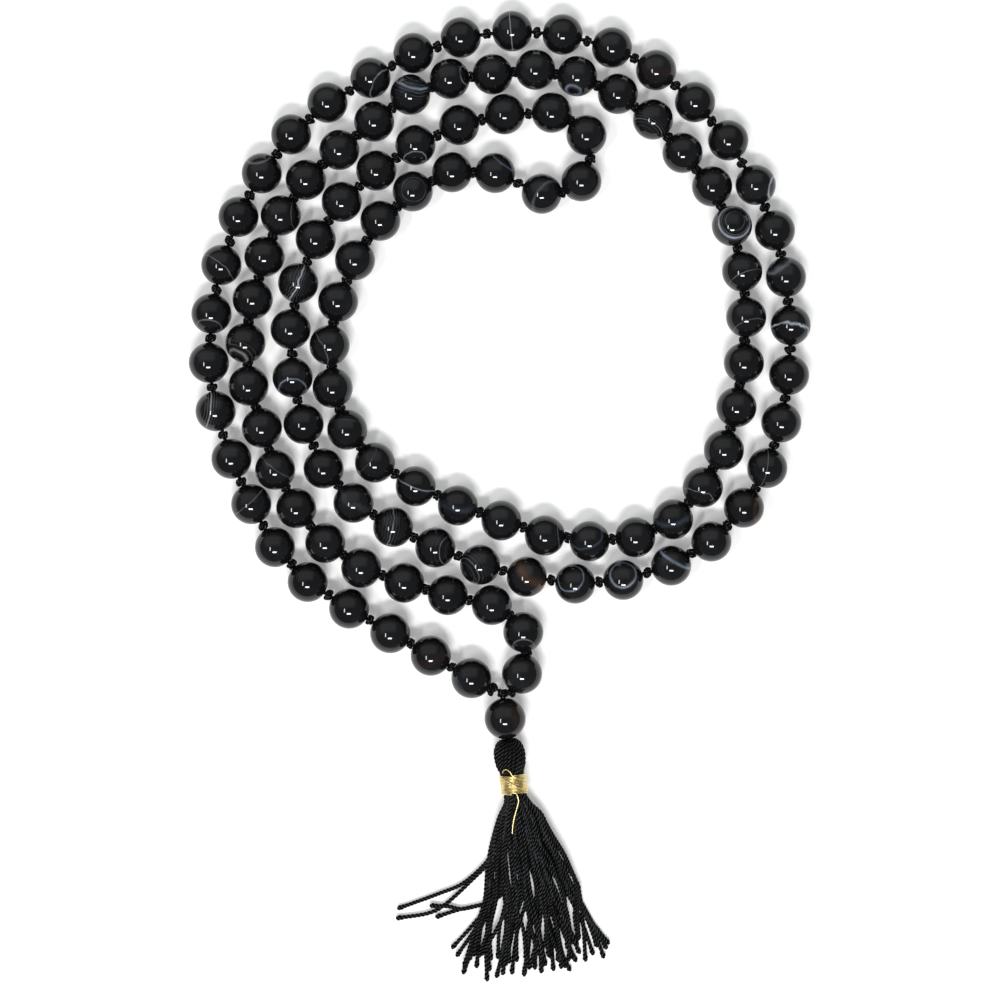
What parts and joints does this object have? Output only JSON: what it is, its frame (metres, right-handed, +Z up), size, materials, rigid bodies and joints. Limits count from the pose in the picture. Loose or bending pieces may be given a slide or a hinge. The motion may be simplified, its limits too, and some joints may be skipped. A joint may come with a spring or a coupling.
{
  "type": "mala prayer beads",
  "caption": "Knotted string of round black banded-agate prayer beads with a guru bead and a black tassel bound in gold thread, laid flat in a double spiral.",
  "frame": {"origin": "middle of the laid-out strand and tassel in X and Y, on the surface it lies on (z = 0)", "axes": "+Z up off the surface, +Y from the tassel towards the top of the loop, +X to the right seen from above"},
  "size_m": [0.1215, 0.1904, 0.0081],
  "materials": {
    "agate": "polished",
    "cord": "satin",
    "tassel_thread": "satin",
    "gold_thread": "satin"
  },
  "bodies": {
    "strand": {"stringing_cord": "cord"},
    "junction": {"junction_knot": "cord"},
    "pendant": {"guru_cord": "cord"},
    "guru": {"guru_bead": "agate"},
    "tie": {"tassel_tie": "cord"},
    "tassel": {"tassel_threads": "tassel_thread", "gold_wrap": "gold_thread"},
    "beads_001_003": {"beads_001_003": "agate"},
    "beads_004_005": {"beads_004_005": "agate"},
    "beads_006_007": {"beads_006_007": "agate"},
    "beads_008_009": {"beads_008_009": "agate"},
    "beads_010_011": {"beads_010_011": "agate"},
    "beads_012_013": {"beads_012_013": "agate"},
    "beads_014_015": {"beads_014_015": "agate"},
    "beads_016_018": {"beads_016_018": "agate"},
    "beads_019_020": {"beads_019_020": "agate"},
    "beads_021_022": {"beads_021_022": "agate"},
    "beads_023_024": {"beads_023_024": "agate"},
    "beads_025_026": {"beads_025_026": "agate"},
    "beads_027_028": {"beads_027_028": "agate"},
    "beads_029_030": {"beads_029_030": "agate"},
    "beads_031_032": {"beads_031_032": "agate"},
    "beads_033_034": {"beads_033_034": "agate"},
    "beads_035_036": {"beads_035_036": "agate"},
    "beads_037_038": {"beads_037_038": "agate"},
    "beads_039_040": {"beads_039_040": "agate"},
    "beads_041_042": {"beads_041_042": "agate"},
    "beads_043_044": {"beads_043_044": "agate"},
    "beads_045_046": {"beads_045_046": "agate"},
    "beads_047_048": {"beads_047_048": "agate"},
    "beads_049_050": {"beads_049_050": "agate"},
    "beads_051_052": {"beads_051_052": "agate"},
    "beads_053_054": {"beads_053_054": "agate"},
    "bead_055": {"bead_055": "agate"},
    "bead_056": {"bead_056": "agate"},
    "beads_057_058": {"beads_057_058": "agate"},
    "beads_059_060": {"beads_059_060": "agate"},
    "beads_061_062": {"beads_061_062": "agate"},
    "beads_063_064": {"beads_063_064": "agate"},
    "beads_065_066": {"beads_065_066": "agate"},
    "beads_067_068": {"beads_067_068": "agate"},
    "beads_069_071": {"beads_069_071": "agate"},
    "beads_072_073": {"beads_072_073": "agate"},
    "beads_074_075": {"beads_074_075": "agate"},
    "beads_076_077": {"beads_076_077": "agate"},
    "beads_078_079": {"beads_078_079": "agate"},
    "beads_080_081": {"beads_080_081": "agate"},
    "beads_082_084": {"beads_082_084": "agate"},
    "beads_085_086": {"beads_085_086": "agate"},
    "beads_087_089": {"beads_087_089": "agate"},
    "beads_090_091": {"beads_090_091": "agate"},
    "beads_092_093": {"beads_092_093": "agate"},
    "beads_094_095": {"beads_094_095": "agate"},
    "beads_096_097": {"beads_096_097": "agate"},
    "beads_098_100": {"beads_098_100": "agate"},
    "beads_101_102": {"beads_101_102": "agate"},
    "beads_103_104": {"beads_103_104": "agate"},
    "beads_105_106": {"beads_105_106": "agate"},
    "bead_107": {"bead_107": "agate"},
    "bead_108": {"bead_108": "agate"}
  },
  "joints": [
    {"name": "pendant_swing", "type": "hinge", "parent": "strand", "child": "junction", "pos_m": [0.00055, -0.0377, 0.004], "axis": [0, 0, 1], "range_deg": [-28, 5]},
    {"name": "pendant_lift", "type": "hinge", "parent": "junction", "child": "pendant", "pos_m": [0.00055, -0.0377, 0.004], "axis": [-1, 0, 0], "range_deg": [0, 30]},
    {"name": "tassel_swing", "type": "hinge", "parent": "pendant", "child": "tie", "pos_m": [0.00162, -0.04739, 0.004], "axis": [0, 0, 1], "range_deg": [-50, 50]},
    {"name": "tassel_lift", "type": "hinge", "parent": "tie", "child": "tassel", "pos_m": [0.00162, -0.04739, 0.004], "axis": [-1, 0, 0], "range_deg": [0, 50]},
    {"name": "guru_spin", "type": "hinge", "parent": "pendant", "child": "guru", "pos_m": [0.0011, -0.04267, 0.004], "axis": [0.1097, -0.994, 0], "continuous": true},
    {"name": "spin_beads_001_003", "type": "hinge", "parent": "strand", "child": "beads_001_003", "pos_m": [-0.0134, -0.0304, 0.004], "axis": [-0.8745, 0.485, 0], "continuous": true},
    {"name": "spin_beads_004_005", "type": "hinge", "parent": "strand", "child": "beads_004_005", "pos_m": [-0.0334, -0.0186, 0.004], "axis": [-0.8415, 0.5402, 0], "continuous": true},
    {"name": "spin_beads_006_007", "type": "hinge", "parent": "strand", "child": "beads_006_007", "pos_m": [-0.04615, -0.005, 0.004], "axis": [-0.4843, 0.8749, 0], "continuous": true},
    {"name": "spin_beads_008_009", "type": "hinge", "parent": "strand", "child": "beads_008_009", "pos_m": [-0.0539, 0.0127, 0.004], "axis": [-0.3162, 0.9487, 0], "continuous": true},
    {"name": "spin_beads_010_011", "type": "hinge", "parent": "strand", "child": "beads_010_011", "pos_m": [-0.0565, 0.0316, 0.004], "axis": [0.052, 0.9986, 0], "continuous": true},
    {"name": "spin_beads_012_013", "type": "hinge", "parent": "strand", "child": "beads_012_013", "pos_m": [-0.05265, 0.0506, 0.004], "axis": [0.3357, 0.942, 0], "continuous": true},
    {"name": "spin_beads_014_015", "type": "hinge", "parent": "strand", "child": "beads_014_015", "pos_m": [-0.04355, 0.0676, 0.004], "axis": [0.6034, 0.7975, 0], "continuous": true},
    {"name": "spin_beads_016_018", "type": "hinge", "parent": "strand", "child": "beads_016_018", "pos_m": [-0.0252, 0.08245, 0.004], "axis": [0.8668, 0.4987, 0], "continuous": true},
    {"name": "spin_beads_019_020", "type": "hinge", "parent": "strand", "child": "beads_019_020", "pos_m": [-0.00255, 0.09095, 0.004], "axis": [0.9924, 0.1234, 0], "continuous": true},
    {"name": "spin_beads_021_022", "type": "hinge", "parent": "strand", "child": "beads_021_022", "pos_m": [0.01715, 0.08965, 0.004], "axis": [0.9668, -0.2555, 0], "continuous": true},
    {"name": "spin_beads_023_024", "type": "hinge", "parent": "strand", "child": "beads_023_024", "pos_m": [0.0344, 0.08085, 0.004], "axis": [0.7724, -0.6352, 0], "continuous": true},
    {"name": "spin_beads_025_026", "type": "hinge", "parent": "strand", "child": "beads_025_026", "pos_m": [0.04735, 0.0659, 0.004], "axis": [0.5238, -0.8518, 0], "continuous": true},
    {"name": "spin_beads_027_028", "type": "hinge", "parent": "strand", "child": "beads_027_028", "pos_m": [0.05485, 0.0481, 0.004], "axis": [0.2299, -0.9732, 0], "continuous": true},
    {"name": "spin_beads_029_030", "type": "hinge", "parent": "strand", "child": "beads_029_030", "pos_m": [0.0567, 0.0293, 0.004], "axis": [-0.0309, -0.9995, 0], "continuous": true},
    {"name": "spin_beads_031_032", "type": "hinge", "parent": "strand", "child": "beads_031_032", "pos_m": [0.05365, 0.0107, 0.004], "axis": [-0.2952, -0.9554, 0], "continuous": true},
    {"name": "spin_beads_033_034", "type": "hinge", "parent": "strand", "child": "beads_033_034", "pos_m": [0.04455, -0.0048, 0.004], "axis": [-0.6933, -0.7206, 0], "continuous": true},
    {"name": "spin_beads_035_036", "type": "hinge", "parent": "strand", "child": "beads_035_036", "pos_m": [0.02885, -0.0142, 0.004], "axis": [-0.958, -0.2869, 0], "continuous": true},
    {"name": "spin_beads_037_038", "type": "hinge", "parent": "strand", "child": "beads_037_038", "pos_m": [0.01005, -0.01565, 0.004], "axis": [-0.9899, 0.1414, 0], "continuous": true},
    {"name": "spin_beads_039_040", "type": "hinge", "parent": "strand", "child": "beads_039_040", "pos_m": [-0.00815, -0.01095, 0.004], "axis": [-0.9339, 0.3575, 0], "continuous": true},
    {"name": "spin_beads_041_042", "type": "hinge", "parent": "strand", "child": "beads_041_042", "pos_m": [-0.02465, -0.0029, 0.004], "axis": [-0.855, 0.5185, 0], "continuous": true},
    {"name": "spin_beads_043_044", "type": "hinge", "parent": "strand", "child": "beads_043_044", "pos_m": [-0.0363, 0.0105, 0.004], "axis": [-0.4091, 0.9125, 0], "continuous": true},
    {"name": "spin_beads_045_046", "type": "hinge", "parent": "strand", "child": "beads_045_046", "pos_m": [-0.0406, 0.02865, 0.004], "axis": [-0.0423, 0.9991, 0], "continuous": true},
    {"name": "spin_beads_047_048", "type": "hinge", "parent": "strand", "child": "beads_047_048", "pos_m": [-0.0376, 0.04665, 0.004], "axis": [0.3695, 0.9292, 0], "continuous": true},
    {"name": "spin_beads_049_050", "type": "hinge", "parent": "strand", "child": "beads_049_050", "pos_m": [-0.02745, 0.0613, 0.004], "axis": [0.7419, 0.6705, 0], "continuous": true},
    {"name": "spin_beads_051_052", "type": "hinge", "parent": "strand", "child": "beads_051_052", "pos_m": [-0.01215, 0.0713, 0.004], "axis": [0.9098, 0.415, 0], "continuous": true},
    {"name": "spin_beads_053_054", "type": "hinge", "parent": "strand", "child": "beads_053_054", "pos_m": [0.0056, 0.0755, 0.004], "axis": [0.9995, 0.0326, 0], "continuous": true},
    {"name": "spin_bead_055", "type": "hinge", "parent": "strand", "child": "bead_055", "pos_m": [0.017, 0.07125, 0.004], "axis": [0.4353, -0.9003, 0], "continuous": true},
    {"name": "spin_bead_056", "type": "hinge", "parent": "strand", "child": "bead_056", "pos_m": [0.016, 0.06225, 0.004], "axis": [-0.5838, -0.8119, 0], "continuous": true},
    {"name": "spin_beads_057_058", "type": "hinge", "parent": "strand", "child": "beads_057_058", "pos_m": [0.0037, 0.06185, 0.004], "axis": [-0.9136, 0.4066, 0], "continuous": true},
    {"name": "spin_beads_059_060", "type": "hinge", "parent": "strand", "child": "beads_059_060", "pos_m": [-0.0131, 0.06215, 0.004], "axis": [-0.899, -0.4378, 0], "continuous": true},
    {"name": "spin_beads_061_062", "type": "hinge", "parent": "strand", "child": "beads_061_062", "pos_m": [-0.02575, 0.0507, 0.004], "axis": [-0.5408, -0.8412, 0], "continuous": true},
    {"name": "spin_beads_063_064", "type": "hinge", "parent": "strand", "child": "beads_063_064", "pos_m": [-0.03235, 0.0345, 0.004], "axis": [-0.1906, -0.9817, 0], "continuous": true},
    {"name": "spin_beads_065_066", "type": "hinge", "parent": "strand", "child": "beads_065_066", "pos_m": [-0.03115, 0.0178, 0.004], "axis": [0.3283, -0.9446, 0], "continuous": true},
    {"name": "spin_beads_067_068", "type": "hinge", "parent": "strand", "child": "beads_067_068", "pos_m": [-0.02035, 0.005, 0.004], "axis": [0.8656, -0.5008, 0], "continuous": true},
    {"name": "spin_beads_069_071", "type": "hinge", "parent": "strand", "child": "beads_069_071", "pos_m": [0.00035, -0.004, 0.004], "axis": [0.9453, -0.3262, 0], "continuous": true},
    {"name": "spin_beads_072_073", "type": "hinge", "parent": "strand", "child": "beads_072_073", "pos_m": [0.02205, -0.00765, 0.004], "axis": [0.9965, 0.0835, 0], "continuous": true},
    {"name": "spin_beads_074_075", "type": "hinge", "parent": "strand", "child": "beads_074_075", "pos_m": [0.0368, -0.00065, 0.004], "axis": [0.6802, 0.733, 0], "continuous": true},
    {"name": "spin_beads_076_077", "type": "hinge", "parent": "strand", "child": "beads_076_077", "pos_m": [0.04505, 0.01395, 0.004], "axis": [0.2815, 0.9595, 0], "continuous": true},
    {"name": "spin_beads_078_079", "type": "hinge", "parent": "strand", "child": "beads_078_079", "pos_m": [0.04795, 0.03125, 0.004], "axis": [0.0502, 0.9987, 0], "continuous": true},
    {"name": "spin_beads_080_081", "type": "hinge", "parent": "strand", "child": "beads_080_081", "pos_m": [0.0464, 0.0491, 0.004], "axis": [-0.2193, 0.9757, 0], "continuous": true},
    {"name": "spin_beads_082_084", "type": "hinge", "parent": "strand", "child": "beads_082_084", "pos_m": [0.03575, 0.0678, 0.004], "axis": [-0.6617, 0.7497, 0], "continuous": true},
    {"name": "spin_beads_085_086", "type": "hinge", "parent": "strand", "child": "beads_085_086", "pos_m": [0.01915, 0.08105, 0.004], "axis": [-0.9173, 0.3981, 0], "continuous": true},
    {"name": "spin_beads_087_089", "type": "hinge", "parent": "strand", "child": "beads_087_089", "pos_m": [-0.00135, 0.08315, 0.004], "axis": [-0.9943, -0.107, 0], "continuous": true},
    {"name": "spin_beads_090_091", "type": "hinge", "parent": "strand", "child": "beads_090_091", "pos_m": [-0.02095, 0.07655, 0.004], "axis": [-0.802, -0.5973, 0], "continuous": true},
    {"name": "spin_beads_092_093", "type": "hinge", "parent": "strand", "child": "beads_092_093", "pos_m": [-0.03455, 0.06545, 0.004], "axis": [-0.7458, -0.6661, 0], "continuous": true},
    {"name": "spin_beads_094_095", "type": "hinge", "parent": "strand", "child": "beads_094_095", "pos_m": [-0.0443, 0.05155, 0.004], "axis": [-0.3694, -0.9293, 0], "continuous": true},
    {"name": "spin_beads_096_097", "type": "hinge", "parent": "strand", "child": "beads_096_097", "pos_m": [-0.0489, 0.03495, 0.004], "axis": [-0.1616, -0.9869, 0], "continuous": true},
    {"name": "spin_beads_098_100", "type": "hinge", "parent": "strand", "child": "beads_098_100", "pos_m": [-0.0464, 0.0141, 0.004], "axis": [0.3022, -0.9532, 0], "continuous": true},
    {"name": "spin_beads_101_102", "type": "hinge", "parent": "strand", "child": "beads_101_102", "pos_m": [-0.03685, -0.005, 0.004], "axis": [0.6391, -0.7691, 0], "continuous": true},
    {"name": "spin_beads_103_104", "type": "hinge", "parent": "strand", "child": "beads_103_104", "pos_m": [-0.0228, -0.0147, 0.004], "axis": [0.9453, -0.3263, 0], "continuous": true},
    {"name": "spin_beads_105_106", "type": "hinge", "parent": "strand", "child": "beads_105_106", "pos_m": [-0.0058, -0.01955, 0.004], "axis": [0.9752, -0.2211, 0], "continuous": true},
    {"name": "spin_bead_107", "type": "hinge", "parent": "strand", "child": "bead_107", "pos_m": [0.00465, -0.0258, 0.004], "axis": [0.3952, -0.9186, 0], "continuous": true},
    {"name": "spin_bead_108", "type": "hinge", "parent": "strand", "child": "bead_108", "pos_m": [0.0044, -0.0339, 0.004], "axis": [-0.4837, -0.8752, 0], "continuous": true}
  ]
}
